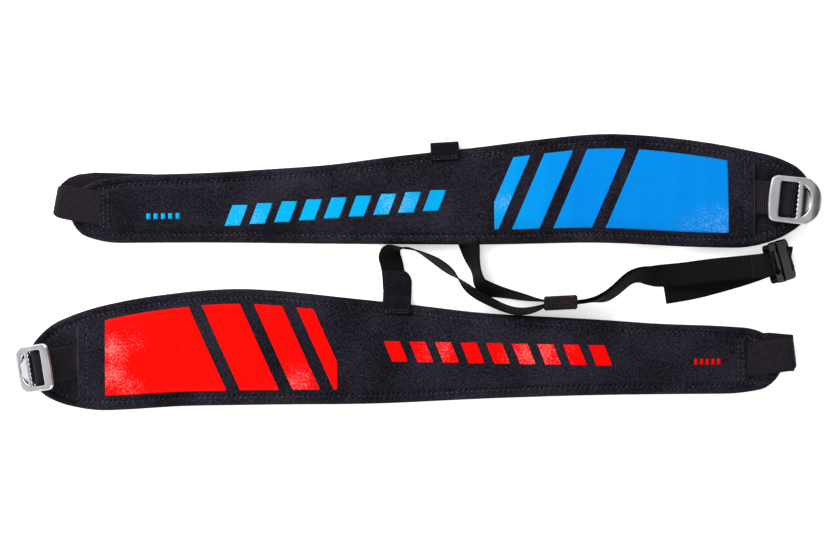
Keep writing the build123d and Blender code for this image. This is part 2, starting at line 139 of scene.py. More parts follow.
def piece(name, verts, faces, material, body="root", attribute=None, closed=True):
    """A mesh object that rides on a body."""
    mesh = bpy.data.meshes.new(name)
    mesh.from_pydata([tuple(v) for v in verts], [], [tuple(int(i) for i in f) for f in faces])
    if attribute is not None:
        layer = mesh.attributes.new("weave", "FLOAT_VECTOR", "POINT")
        layer.data.foreach_set("vector", np.asarray(attribute, np.float32).ravel())
    mesh.validate()
    if closed:
        bm = bmesh.new()
        bm.from_mesh(mesh)
        bmesh.ops.recalc_face_normals(bm, faces=bm.faces)
        bm.to_mesh(mesh)
        bm.free()
    mesh.polygons.foreach_set("use_smooth", [True] * len(mesh.polygons))
    mesh.materials.append(material)
    obj = linked(name, mesh)
    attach(obj, body)
    return obj


def grid(columns, rows, first=0):
    """Quads over columns of points, and the edges round them."""
    wide = rows + 1
    faces = [(first + i * wide + j, first + (i + 1) * wide + j,
              first + (i + 1) * wide + j + 1, first + i * wide + j + 1)
             for i in range(columns) for j in range(rows)]
    rim = [(first + i * wide + j, first + (i + 1) * wide + j)
           for j in (0, rows) for i in range(columns)]
    rim += [(first + i * wide + j, first + i * wide + j + 1)
            for i in (0, columns) for j in range(rows)]
    return faces, rim


def thickened(flat, faces, rim, high, low):
    """A closed form between two heights over the same plan."""
    top, base = flat.copy(), flat.copy()
    top[:, 2], base[:, 2] = high, low
    count = len(flat)
    every = faces + [tuple(count + i for i in f[::-1]) for f in faces]
    every += [(a, b, count + b, count + a) for a, b in rim]
    return np.concatenate([top, base]), every


def unit(vectors):
    """Rows scaled to a length of 1."""
    return vectors / np.linalg.norm(vectors, axis=1)[:, None]


def distances(line):
    """How far along a line each of its points lies."""
    return np.concatenate([[0], np.cumsum(np.linalg.norm(np.diff(line, axis=0), axis=1))])


def resampled(line, count):
    """A line's points, evenly spaced."""
    at = distances(line)
    even = np.linspace(0, at[-1], count)
    return np.stack([np.interp(even, at, line[:, k]) for k in range(line.shape[1])], axis=1)


def averaged(line):
    """A line with each inner point drawn towards its neighbours."""
    inner = (line[:-2] + 2 * line[1:-1] + line[2:]) / 4
    return np.concatenate([line[:1], inner, line[-1:]])


def smoothstep(t):
    t = np.clip(t, 0.0, 1.0)
    return t * t * (3 - 2 * t)


def ripple(x, y, seed, long_wave, short_wave):
    """A smooth irregular wave of about -1 to 1, the same each run."""
    rng = np.random.default_rng(seed)
    total = np.zeros_like(np.asarray(x, float))
    for _ in range(5):
        wave = rng.uniform(short_wave, long_wave)
        angle = rng.uniform(-0.5, 0.5)
        phase = rng.uniform(0, 2 * math.pi)
        total = total + np.sin(2 * math.pi * (x * math.cos(angle) + y * math.sin(angle)) / wave
                               + phase)
    return total / 3.0


# ---- materials ---------------------------------------------------------------------------
def srgb(r, g, b):
    def linear(c):
        c = c / 255
        return c / 12.92 if c <= 0.04045 else ((c + 0.055) / 1.055) ** 2.4
    return (linear(r), linear(g), linear(b), 1.0)


def grey(value):
    return (value, value, value, 1.0)


class Nodes:
    """A material under construction."""

    def __init__(self, name, **sockets):
        self.material = bpy.data.materials.new(name)
        self.material.use_nodes = True
        self.tree = self.material.node_tree
        self.shader = self.tree.nodes["Principled BSDF"]
        for socket, value in sockets.items():
            self.shader.inputs[socket.replace("_", " ")].default_value = value

    def new(self, kind, **values):
        node = self.tree.nodes.new(kind)
        for key, value in values.items():
            if key in node.inputs:
                node.inputs[key].default_value = value
            else:
                setattr(node, key, value)
        return node

    def link(self, a, b):
        self.tree.links.new(a, b)

    def place(self, attribute):
        """Where the pattern is measured: a strap's own directions, or the row frame."""
        if attribute:
            return self.new("ShaderNodeAttribute", attribute_name="weave").outputs["Vector"]
        return self.new("ShaderNodeTexCoord").outputs["Object"]

    def bands(self, place, direction, pitch, distortion=0.0):
        """Sine bands of a pitch in metres."""
        wave = self.new("ShaderNodeTexWave", bands_direction=direction, Scale=math.pi / 10 / pitch,
                        Distortion=distortion)
        self.link(place, wave.inputs["Vector"])
        return wave.outputs["Fac"]

    def noise(self, place, scale, detail, roughness):
        node = self.new("ShaderNodeTexNoise", Scale=scale, Detail=detail, Roughness=roughness)
        self.link(place, node.inputs["Vector"])
        return node.outputs["Fac"]

    def math(self, operation, a, b):
        node = self.new("ShaderNodeMath", operation=operation)
        for socket, value in zip(node.inputs, (a, b)):
            if isinstance(value, (int, float)):
                socket.default_value = value
            else:
                self.link(value, socket)
        return node.outputs[0]

    def ramp(self, factor, stops):
        node = self.new("ShaderNodeValToRGB")
        self.link(factor, node.inputs["Fac"])
        elements = node.color_ramp.elements
        while len(elements) < len(stops):
            elements.new(0.5)
        for element, (at, colour) in zip(elements, stops):
            element.position = at
            element.color = colour
        return node.outputs["Color"]

    def mix(self, factor, a, b):
        node = self.new("ShaderNodeMix", data_type="RGBA")
        self.link(factor, node.inputs["Factor"])
        for socket, value in ((node.inputs["A"], a), (node.inputs["B"], b)):
            if isinstance(value, tuple):
                socket.default_value = value
            else:
                self.link(value, socket)
        return node.outputs["Result"]

    def bump(self, height, distance, strength, under=None):
        node = self.new("ShaderNodeBump", Strength=strength, Distance=distance)
        self.link(height, node.inputs["Height"])
        if under is not None:
            self.link(under, node.inputs["Normal"])
        return node.outputs["Normal"]

    def done(self, colour, normal, roughness=None):
        self.link(colour, self.shader.inputs["Base Color"])
        self.link(normal, self.shader.inputs["Normal"])
        if roughness is not None:
            self.link(roughness, self.shader.inputs["Roughness"])
        return self.material


def woven(name, dark, light, pitch, attribute=False, rough=0.85, depth=0.0004, painted_highlight=None):
    """Plain woven cloth with slubs, dust and a little colour drift, with a painted highlight where
    the weave attribute's third value asks for it.
    """
    n = Nodes(name, Roughness=rough, Sheen_Weight=0.03, Sheen_Roughness=0.4,
              Specular_IOR_Level=0.05)
    place = n.place(attribute)
    warp = n.bands(place, "X", pitch, 0.15)
    weft = n.bands(place, "Y", pitch * 1.1, 0.15)
    over = n.math("MULTIPLY", n.math("SUBTRACT", warp, 0.5), n.math("SUBTRACT", weft, 0.5))
    height = n.math("ADD", n.math("MULTIPLY", over, 2.0), n.math("MULTIPLY", warp, 0.35))
    drift = n.noise(place, 22.0, 3.0, 0.5)
    stretched = n.new("ShaderNodeMapping")
    stretched.inputs["Scale"].default_value = (1.0, 0.45, 1.0)
    n.link(place, stretched.inputs["Vector"])
    slub = n.noise(stretched.outputs["Vector"], 1000.0, 2.0, 0.6)
    fine = n.noise(place, 1300.0, 2.0, 0.7)
    tone = n.math("ADD", n.math("MULTIPLY", drift, 0.2),
                  n.math("ADD", n.math("MULTIPLY", fine, 0.45), n.math("MULTIPLY", slub, 0.35)))
    bright = tuple(3.4 * c for c in light[:3]) + (1,)
    colour = n.ramp(tone, [(0.42, dark), (0.50, light), (0.59, bright)])
    if painted_highlight is not None:
        # painted highlight: the weave attribute's third value mixes in a paler colour, standing for
        # light caught along a fold
        split = n.new("ShaderNodeSeparateXYZ")
        n.link(n.place(True), split.inputs[0])
        colour = n.mix(split.outputs["Z"], colour, painted_highlight)
    normal = n.bump(height, depth, 0.9, n.bump(fine, 0.0005, 0.8))
    return n.done(colour, normal)


def ribbed(name, dark, light, along, across, depth=0.0004):
    """Nylon webbing: ribs across it, split into rows along it, darker in the grooves as painted
    shade.
    """
    n = Nodes(name, Roughness=0.75, Sheen_Weight=0.02, Sheen_Roughness=0.4,
              Specular_IOR_Level=0.06)
    place = n.place(True)
    rib = n.bands(place, "Y", along, 0.2)
    row = n.bands(place, "X", across, 0.1)
    height = n.math("MULTIPLY", n.math("POWER", rib, 0.6), n.math("ADD", row, 1.3))
    drift = n.noise(place, 90.0, 4.0, 0.6)
    fuzz = n.noise(place, 1100.0, 2.0, 0.7)
    # the ribs' height also sets the tone: painted shade darkens the grooves between ribs and rows
    tone = n.math("ADD", n.math("MULTIPLY", height, 0.24),
                  n.math("ADD", n.math("MULTIPLY", drift, 0.3), n.math("MULTIPLY", fuzz, 0.5)))
    colour = n.ramp(tone, [(0.35, dark), (0.8, light)])
    return n.done(colour, n.bump(height, depth, 0.7, n.bump(fuzz, 0.0003, 0.6)))


PRINT_HEIGHT = 0.0144  # of a print's surface, in metres


def film(name, main, other, spread, toward, patches):
    """A heat-pressed print: glossy, with orange peel and patches of painted highlight (x, y, size,
    weight).
    """
    n = Nodes(name, Specular_IOR_Level=0.03)
    place = n.place(False)
    separate = n.new("ShaderNodeSeparateXYZ")
    n.link(place, separate.inputs[0])
    along = n.math("MULTIPLY_ADD", separate.outputs["X"], 1.0 / spread)
    along.node.inputs[2].default_value = toward
    colour = n.mix(along, main, other)
    dimple = n.noise(place, 640.0, 4.0, 0.7)
    blotch = n.noise(place, 60.0, 3.0, 0.6)
    cloth = n.math("MULTIPLY", n.bands(place, "X", 0.0011), n.bands(place, "Y", 0.0012))
    reach = 0.0
    for x, y, radius, weight in patches:
        away = n.new("ShaderNodeVectorMath", operation="DISTANCE")
        n.link(place, away.inputs[0])
        away.inputs[1].default_value = (x, y, PRINT_HEIGHT)
        near = n.math("SUBTRACT", 1.0, n.math("DIVIDE", away.outputs["Value"], radius))
        near.node.use_clamp = True
        reach = n.math("MAXIMUM", reach, n.math("MULTIPLY", near, weight))
    grain = n.math("ADD", n.math("MULTIPLY", dimple, 5.0), n.math("MULTIPLY", blotch, 1.4))
    # painted highlight: within the patches, where the orange-peel grain stands high, the colour is
    # paled, as light glinting on the gloss
    painted_gloss = n.math("SUBTRACT", n.math("ADD", grain, n.math("MULTIPLY", reach, 1.6)), 3.9)
    painted_gloss.node.use_clamp = True
    painted_gloss = n.math("MULTIPLY", n.math("MULTIPLY", painted_gloss, 0.5),
                   n.math("MINIMUM", n.math("MULTIPLY", reach, 3.0), 1.0))
    pale = n.mix(painted_gloss, colour, tuple(0.28 + 0.72 * c for c in main[:3]) + (1,))
    rough = n.ramp(blotch, [(0.35, grey(0.22)), (0.7, grey(0.5))])
    normal = n.bump(cloth, 0.00006, 0.6, n.bump(dimple, 0.0002, 0.7))
    return n.done(pale, normal, rough)


# the colour of the painted highlight along the face panel's folded edge
HIGHLIGHT_COLOUR = srgb(74, 71, 80)
cover_cloth = woven("cover_fabric", srgb(7, 6, 10), srgb(24, 22, 29), 0.0012)
panel_cloth = woven("panel_fabric", srgb(7, 6, 10), srgb(25, 23, 31), 0.0010, painted_highlight=HIGHLIGHT_COLOUR)
tab_cloth = woven("tab_fabric", srgb(5, 4, 6), srgb(18, 16, 21), 0.0012, True)
keeper_cloth = woven("keeper_fabric", srgb(8, 6, 6), srgb(32, 26, 26), 0.0013, True)
webbing = ribbed("webbing", srgb(4, 3, 5), srgb(38, 34, 40), 0.0018, 0.0024)
chest_webbing = ribbed("chest_webbing", srgb(2, 1, 2), srgb(17, 14, 16), 0.0012, 0.0016, 0.0003)
# the thread is paler than black, a painted highlight that lets the stitches show as bright dashes
thread = woven("thread", srgb(20, 19, 23), srgb(46, 44, 52), 0.0006, rough=0.6, depth=0.0001)
# each film's list gives its patches of painted highlight
blue_print = film("blue_film", srgb(0, 120, 200), srgb(0, 150, 208), -0.14, 1.0,
                  [(0.262, 0.042, 0.030, 0.7), (0.236, 0.040, 0.022, 0.45),
                   (0.075, 0.060, 0.022, 0.6)])
cyan_print = film("cyan_film", srgb(0, 140, 200), srgb(0, 152, 204), -0.2, 0.5,
                  [(-0.148, 0.046, 0.03, 0.6), (-0.02, 0.058, 0.03, 0.8), (-0.08, 0.05, 0.02, 0.3)])
red_print = film("red_film", srgb(220, 0, 0), srgb(222, 4, 0), -0.3, 0.4,
                 [(-0.266, -0.068, 0.022, 0.9), (-0.266, -0.090, 0.020, 0.9),
                  (-0.252, -0.102, 0.020, 0.7), (-0.248, -0.060, 0.018, 0.5),
                  (-0.105, -0.098, 0.028, 0.7), (0.02, -0.072, 0.03, 0.6),
                  (0.105, -0.074, 0.045, 0.8)])


def spacer_mesh():
    """The pad's back: 3-D mesh cloth with rows of small openings, painted dark inside as shade."""
    n = Nodes("spacer_mesh", Roughness=0.9, Sheen_Weight=0.2, Sheen_Roughness=0.5)
    place = n.place(False)
    cells = n.new("ShaderNodeTexVoronoi", Scale=420.0, Randomness=0.12)
    n.link(place, cells.inputs["Vector"])
    # painted shade: each opening is coloured darker towards its middle
    painted_hole_shade = n.ramp(cells.outputs["Distance"], [(0.18, srgb(4, 4, 5)), (0.42, srgb(30, 28, 32))])
    return n.done(painted_hole_shade, n.bump(cells.outputs["Distance"], 0.0008, 0.9))


def aluminium():
    """Tumbled and polished cast metal."""
    n = Nodes("aluminium", Metallic=1.0)
    place = n.place(False)
    haze = n.noise(place, 60.0, 2.0, 0.5)
    grit = n.noise(place, 1500.0, 2.0, 0.5)
    colour = n.ramp(haze, [(0.3, srgb(180, 179, 182)), (0.7, srgb(198, 197, 200))])
    rough = n.ramp(haze, [(0.3, grey(0.27)), (0.7, grey(0.35))])
    return n.done(colour, n.bump(grit, 0.00001, 0.15), rough)


def moulded():
    """Black acetal with a faint moulded grain and painted highlights along its edges."""
    n = Nodes("buckle_plastic", Specular_IOR_Level=0.03)
    place = n.place(False)
    grain = n.noise(place, 900.0, 2.0, 0.5)
    haze = n.noise(place, 120.0, 3.0, 0.6)
    # painted highlight: a paler colour where the surface turns sharply, along the edges
    edge = n.ramp(n.new("ShaderNodeNewGeometry").outputs["Pointiness"],
                  [(0.53, grey(0)), (0.62, grey(1))])
    colour = n.ramp(haze, [(0.3, srgb(3, 3, 4)), (0.7, srgb(8, 8, 10))])
    colour = n.mix(edge, colour, srgb(112, 112, 118))
    rough = n.ramp(haze, [(0.3, grey(0.10)), (0.7, grey(0.2))])
    return n.done(colour, n.bump(grain, 0.00004, 0.4), rough)


mesh_cloth, metal, plastic = spacer_mesh(), aluminium(), moulded()


# ---- camera and light --------------------------------------------------------------------
def camera():
    """Looks straight down on the whole layout."""
    data = bpy.data.cameras.new("camera")
    data.sensor_width = 36.0
    data.lens = 125.0
    data.clip_end = 10.0
    wide = 0.735  # what the frame takes in, at the height of the pads' tops
    pad_height = 0.010
    middle = (1.31, -8.31)
    obj = linked("camera", data)
    obj.location = ((middle[0] + SHIFT[0]) * MM, (middle[1] + SHIFT[1]) * MM,
                    pad_height + wide * data.lens / data.sensor_width)
    bpy.context.scene.camera = obj


def lamp(name, at, aim, size, power):
    data = bpy.data.lights.new(name, "AREA")
    data.shape = "RECTANGLE"
    data.size, data.size_y = size
    data.energy = power
    obj = linked(name, data)
    obj.location = at
    obj.rotation_euler = (Vector(aim) - Vector(at)).to_track_quat("-Z", "Y").to_euler()


def studio():
    """An even room, darker beyond both ends, with three soft lamps."""
    world = bpy.data.worlds.new("studio")
    bpy.context.scene.world = world
    world.use_nodes = True
    tree = world.node_tree
    place = tree.nodes.new("ShaderNodeTexCoord")
    centred = tree.nodes.new("ShaderNodeVectorMath")
    centred.operation = "MULTIPLY_ADD"
    centred.inputs[1].default_value = (0.5, 1.0, 1.0)
    centred.inputs[2].default_value = (0.5, 0.0, 0.0)
    tree.links.new(place.outputs["Generated"], centred.inputs[0])
    split = tree.nodes.new("ShaderNodeSeparateXYZ")
    tree.links.new(centred.outputs[0], split.inputs[0])
    both = tree.nodes.new("ShaderNodeVectorMath")
    both.operation = "MULTIPLY"
    for socket, axis, stops in (
            (both.inputs[0], "Z", ((0.0, 1.0), (0.5, 1.3), (0.8, 1.4), (0.93, 1.05), (1.0, 1.35))),
            (both.inputs[1], "X", ((0.0, 0.26), (0.2, 0.45), (0.42, 1.1), (0.58, 1.05), (0.70, 0.2),
                                   (1.0, 0.06)))):
        ramp = tree.nodes.new("ShaderNodeValToRGB")
        tree.links.new(split.outputs[axis], ramp.inputs["Fac"])
        while len(ramp.color_ramp.elements) < len(stops):
            ramp.color_ramp.elements.new(0.5)
        for element, (at, value) in zip(ramp.color_ramp.elements, stops):
            element.position = at
            element.color = grey(value)
        tree.links.new(ramp.outputs["Color"], socket)
    tree.links.new(both.outputs[0], tree.nodes["Background"].inputs["Color"])
    lamp("key", (-1.2, 1.3, 1.3), (0, 0, 0), (1.6, 0.9), 52)
    lamp("fill", (-0.9, -1.9, 1.3), (0, 0, 0), (1.6, 0.8), 26)
    lamp("gloss", (-0.44, -0.13, 2.45), (-0.22, -0.06, 0), (0.07, 0.10), 1.2)


def floor():
    """A plain pale sheet."""
    size, steps = 4.0, 8
    line = np.linspace(-size / 2, size / 2, steps + 1)
    verts = [(x, y, 0.0) for x in line for y in line]
    mesh = bpy.data.meshes.new("floor")
    mesh.from_pydata(verts, [], grid(steps, steps)[0])
    n = Nodes("floor", Roughness=0.95, Base_Color=grey(0.93), Specular_IOR_Level=0.0,
              Emission_Color=grey(1.0), Emission_Strength=0.45)
    mesh.materials.append(n.material)
    linked("floor", mesh)


camera()
studio()
floor()
bpy.context.scene.view_settings.view_transform = "Standard"


# ---- straps ------------------------------------------------------------------------------
def ribbon(name, path, across, width, thick, material, columns=10, widths=None):
    """A woven strap: path and across in metres in the row frame, one entry per station.

    widths, if given, are how far the strap reaches to each side, in place of half its width.
    """
    path, across = np.asarray(path, float), np.asarray(across, float)
    count = len(path)
    along = unit(np.gradient(path, axis=0))
    across = unit(across - along * (across * along).sum(1)[:, None])
    normal = np.cross(along, across)
    length = distances(path)
    share = np.linspace(-1, 1, columns + 1)
    left, right = widths if widths is not None else (np.full(count, width / 2),) * 2
    verts, weave = [], []
    for i in range(count):
        reach = np.where(share < 0, -share * -left[i], share * right[i])
        # thin at the very edge, a little thicker along the selvedge
        swell = np.where(np.abs(share) > 0.99, 0.55, np.where(np.abs(share) > 0.75, 1.08, 1.0))
        for sign in (1, -1):
            steps = range(columns + 1) if sign > 0 else range(columns, -1, -1)
            for j in steps:
                verts.append(path[i] + across[i] * reach[j]
                             + normal[i] * sign * swell[j] * thick / 2)
                weave.append((reach[j], length[i], 0.0))
    ring = 2 * (columns + 1)
    faces = [(i * ring + j, i * ring + (j + 1) % ring, (i + 1) * ring + (j + 1) % ring,
              (i + 1) * ring + j) for i in range(count - 1) for j in range(ring)]
    for base in (0, (count - 1) * ring):
        for j in range(columns):
            quad = (base + j, base + j + 1, base + ring - 2 - j, base + ring - 1 - j)
            faces.append(quad if base else quad[::-1])
    return piece(name, verts, faces, material, attribute=weave)


def nurbs(points):
    """A smooth line through the neighbourhood of its control points."""
    curve = bpy.data.curves.new("line", "CURVE")
    curve.dimensions = "3D"
    curve.resolution_u = 10
    spline = curve.splines.new("NURBS")
    spline.points.add(len(points) - 1)
    for point, at in zip(spline.points, points):
        point.co = (*at, 1.0)
    spline.order_u = 3
    spline.use_endpoint_u = True
    obj = linked("line", curve)
    bpy.context.view_layer.update()
    mesh = bpy.data.meshes.new_from_object(obj)
    found = np.array([v.co for v in mesh.vertices], float)
    bpy.data.objects.remove(obj)
    bpy.data.meshes.remove(mesh)
    bpy.data.curves.remove(curve)
    return found


def cord_ribbon(name, route, replaced):
    """Chest webbing along a route of (x, y, z, lean): 0 degrees is flat, 90 stands on its edge."""
    path = nurbs(shifted([r[:3] for r in route]))
    lean = np.radians(nurbs([(r[3] * MM, 0.0, 0.0) for r in route])[:, 0] / MM)
    along = np.gradient(path, axis=0)
    flat = unit(along * (1, 1, 0))
    beside = np.stack([-flat[:, 1], flat[:, 0], np.zeros(len(flat))], axis=1)
    for i in range(1, len(beside)):  # keeps its side where the strap doubles back
        if beside[i] @ beside[i - 1] < 0:
            beside[i] *= -1
    up = np.cross(unit(along), beside)
    across = beside * np.cos(lean)[:, None] + up * np.sin(lean)[:, None]
    obj = ribbon(name, path, across, CHEST_WIDTH * MM, CHEST_THICK * MM, chest_webbing)
    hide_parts(*replaced)


LEFT_CHEST = [
    (-21.3, -16, 1.4, 0), (-21.8, -4, 1.4, 0), (-23.5, 6, 1.6, 0), (-26, 13.5, 3.2, 12),
    (-24, 19.5, 8.2, 58), (-14, 20.2, 10.9, 96), (-3, 18.6, 10.8, 92), (14.4, 9.2, 10.6, 71),
    (27.6, -0.4, 10.6, 70), (34.6, -6.6, 10.8, 90), (41, -13.6, 10.8, 108),
    (49.4, -20.3, 10.6, 113), (62.6, -27.2, 10.6, 112), (75.7, -33.4, 10.6, 109),
    (88.8, -36.4, 10.6, 108), (101.9, -34.2, 10.8, 104), (112, -29.8, 11, 94),
    (125, -29, 11, 90), (139, -29, 11, 90), (152, -27.3, 11, 90), (163, -24.5, 10.7, 68),
    (172, -18.8, 10.6, 65), (185, -6.6, 10.4, 62), (194, -4, 9.9, 55), (204, -5, 8.2, 35),
    (213, -4.6, 6.8, 10), (232, -3, 7.4, 0), (255, 0.4, 14, 0), (277, 2.4, 24.5, 0),
    (292, 4, 33, 0), (299, 4.8, 36.3, 0), (304, 5.5, 38.6, 0), (307.8, 6.2, 42, 0),
    (305, 5.6, 45.8, 0), (300, 4.5, 45.6, 0), (296, 3.6, 42, 0), (289, 3, 36.5, 0),
]
RIGHT_CHEST = [
    (22.5, 90, 1.2, 0), (29, 68, 1.2, 0), (36, 47, 1.4, 0), (41.5, 33, 3.0, 4),
    (44.2, 25, 5.4, 24), (46.6, 14, 8.0, 42), (49.4, 4, 10.2, 64), (51.6, -4, 10.2, 68),
    (54.2, -12, 9.2, 54), (61, -16.6, 9.0, 50), (76, -19.8, 9.6, 66), (91, -23.2, 10.2, 72),
    (103, -25.6, 10.8, 82), (113, -27.0, 11, 90),
    (125, -27.2, 11, 90), (139, -27.4, 11, 84), (152, -25.9, 11, 78), (162.1, -22.9, 10.4, 68),
    (170.9, -17.4, 9.8, 65), (184, -5.2, 9.4, 62), (194, -2.4, 8.9, 55), (204, -3.9, 6.5, 35),
    (213, -4.6, 4.4, 10), (232, -4.2, 2.9, 0), (262, -1.5, 2.9, 0), (290, 2, 3, 0),
    (304, 4.8, 3.8, 0), (311, 7.2, 7.2, 0), (316.5, 8.7, 11.2, 0), (321.5, 10.1, 15.0, 0),
    (325, 11.0, 13.0, 0), (326, 11.3, 8.4, 0), (323, 10.5, 4, 0), (317, 8.6, 1.9, 0),
    (306, 4.4, 1.1, 0), (290, -1.8, 1.05, 0), (262, -10, 1.05, 0), (238, -16.2, 1.05, 0),
    (216, -19.5, 1.05, 0),
]

cord_ribbon(
    "left_chest_strap", LEFT_CHEST,
    ["left_chest_webbing_base", "left_chest_webbing_edge", "left_chest_webbing_bend",
     "left_chest_webbing_rise"])
cord_ribbon(
    "right_chest_strap", RIGHT_CHEST,
    ["right_chest_anchor", "right_chest_webbing_edge", "right_chest_webbing_flat",
     "chest_webbing_tail"])


# ---- pads --------------------------------------------------------------------------------
def cover_outline(side, node):
    """The lower outer edge of a pad's cover, clockwise, in the strap's own frame."""
    bm = bmesh.new()
    bm.from_mesh(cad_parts[node].data)
    bmesh.ops.remove_doubles(bm, verts=bm.verts, dist=1e-6)
    low = min(v.co.z for v in bm.verts)
    base = {f for f in bm.faces if all(abs(v.co.z - low) < 1e-6 for v in f.verts)}
    border = {e for e in bm.edges if sum(f in base for f in e.link_faces) == 1}
    loops = []
    while border:
        edge = border.pop()
        loop = [edge.verts[0], edge.verts[1]]
        while True:
            follow = next((e for e in loop[-1].link_edges if e in border), None)
            if follow is None:
                break
            border.remove(follow)
            loop.append(follow.other_vert(loop[-1]))
        loops.append([tuple(v.co) for v in loop])
    longest = max(loops, key=lambda l: max(p[0] for p in l) - min(p[0] for p in l))
    bm.free()
    line = unplaced(side, longest)
    if np.linalg.norm(line[0] - line[-1]) < 1e-3:
        line = line[:-1]
    area = (line[:, 0] * np.roll(line[:, 1], -1) - np.roll(line[:, 0], -1) * line[:, 1]).sum()
    return line[::-1] if area > 0 else line


def smoothed(values, rounds):
    """Values round a closed loop, evened out."""
    for _ in range(rounds):
        values = (np.roll(values, 1, axis=0) + 2 * values + np.roll(values, -1, axis=0)) / 4
    return values


class Outline:
    """A pad's edge, with the lines drawn in from it."""

    def __init__(self, side, node):
        line = cover_outline(side, node)
        tip = int(np.argmin(line[:, 0] + 0.001 * np.abs(line[:, 1])))
        line = np.concatenate([line[tip:], line[:tip + 1]])
        toe = int(np.argmax(line[:, 0] - 0.001 * np.abs(line[:, 1])))
        upper = resampled(line[:toe + 1], HALF_STEPS + 1)
        lower = resampled(line[toe:], HALF_STEPS + 1)
        self.loop = np.concatenate([upper[:-1], lower[:-1]])
        tangent = np.roll(self.loop, -1, axis=0) - np.roll(self.loop, 1, axis=0)
        tangent = unit(smoothed(tangent, 6))
        self.inwards = np.stack([tangent[:, 1], -tangent[:, 0]], axis=1)
        step = np.linalg.norm(np.roll(self.loop, -1, axis=0) - self.loop, axis=1)
        self.along = np.concatenate([[0], np.cumsum(step)[:-1]])

    def ring(self, inset):
        """The edge drawn in by a distance."""
        return self.loop + self.inwards * inset

    def edges_at(self, x, inset):
        """The upper and lower edge of the drawn-in outline at some x."""
        ring = self.ring(inset)
        upper, lower = ring[:HALF_STEPS + 1], ring[HALF_STEPS:][::-1]
        return (np.interp(x, upper[:, 0], upper[:, 1]), np.interp(x, lower[:, 0], lower[:, 1]))


def ladder(first, rungs):
    """Points inside a ring of 2 * HALF_STEPS points, on rungs from one long edge to the other."""
    count = HALF_STEPS
    inner, table = [], {}
    for k in range(1, count):
        row = [first + k]
        for j in range(1, rungs):
            row.append(("new", len(inner)))
            inner.append((k, 2 * count - k, j / rungs))
        row.append(first + 2 * count - k)
        table[k] = row
    return inner, table


def padded_shell(outline, rings, top_z, bottom_z, rungs=10):
    """A closed form from rings of (inset, height function); returns vertices and faces."""
    count = 2 * HALF_STEPS
    verts, faces = [], []
    for inset, height in rings:
        plan = outline.ring(inset)
        z = height(plan[:, 0], plan[:, 1], inset, outline.along)
        verts.extend(np.column_stack([plan, z]).tolist())
    for r in range(len(rings) - 1):
        for i in range(count):
            j = (i + 1) % count
            faces.append((r * count + i, r * count + j, (r + 1) * count + j,
                          (r + 1) * count + i))
    for first, inset, height in ((0, rings[0][0], top_z),
                                 ((len(rings) - 1) * count, rings[-1][0], bottom_z)):
        inner, table = ladder(first, rungs)
        start = len(verts)
        ring = np.array(verts[first:first + count])
        a = ring[[k for k, _, _ in inner], :2]
        b = ring[[m for _, m, _ in inner], :2]
        t = np.array([s for _, _, s in inner])[:, None]
        plan = a * (1 - t) + b * t
        span = np.linalg.norm(b - a, axis=1)
        depth = inset + np.minimum(t[:, 0], 1 - t[:, 0]) * span
        z = height(plan[:, 0], plan[:, 1], depth, np.zeros(len(plan)))
        verts.extend(np.column_stack([plan, z]).tolist())

        def index(entry):
            return start + entry[1] if isinstance(entry, tuple) else entry

        rows = {k: [index(e) for e in row] for k, row in table.items()}
        for k in range(1, HALF_STEPS - 1):
            for j in range(rungs):
                faces.append((rows[k][j], rows[k][j + 1], rows[k + 1][j + 1], rows[k + 1][j]))
        for j in range(rungs):
            faces.append((first, rows[1][j], rows[1][j + 1]))
            last = rows[HALF_STEPS - 1]
            faces.append((first + HALF_STEPS, last[j + 1], last[j]))
    return np.array(verts), faces


def level(z, wobble=0.0):
    """A height function that is the same everywhere, but for a wobble along the edge."""
    def height(x, y, depth, along):
        return np.full_like(x, z) + wobble * np.sin(2 * math.pi * along / 13.0)
    return height


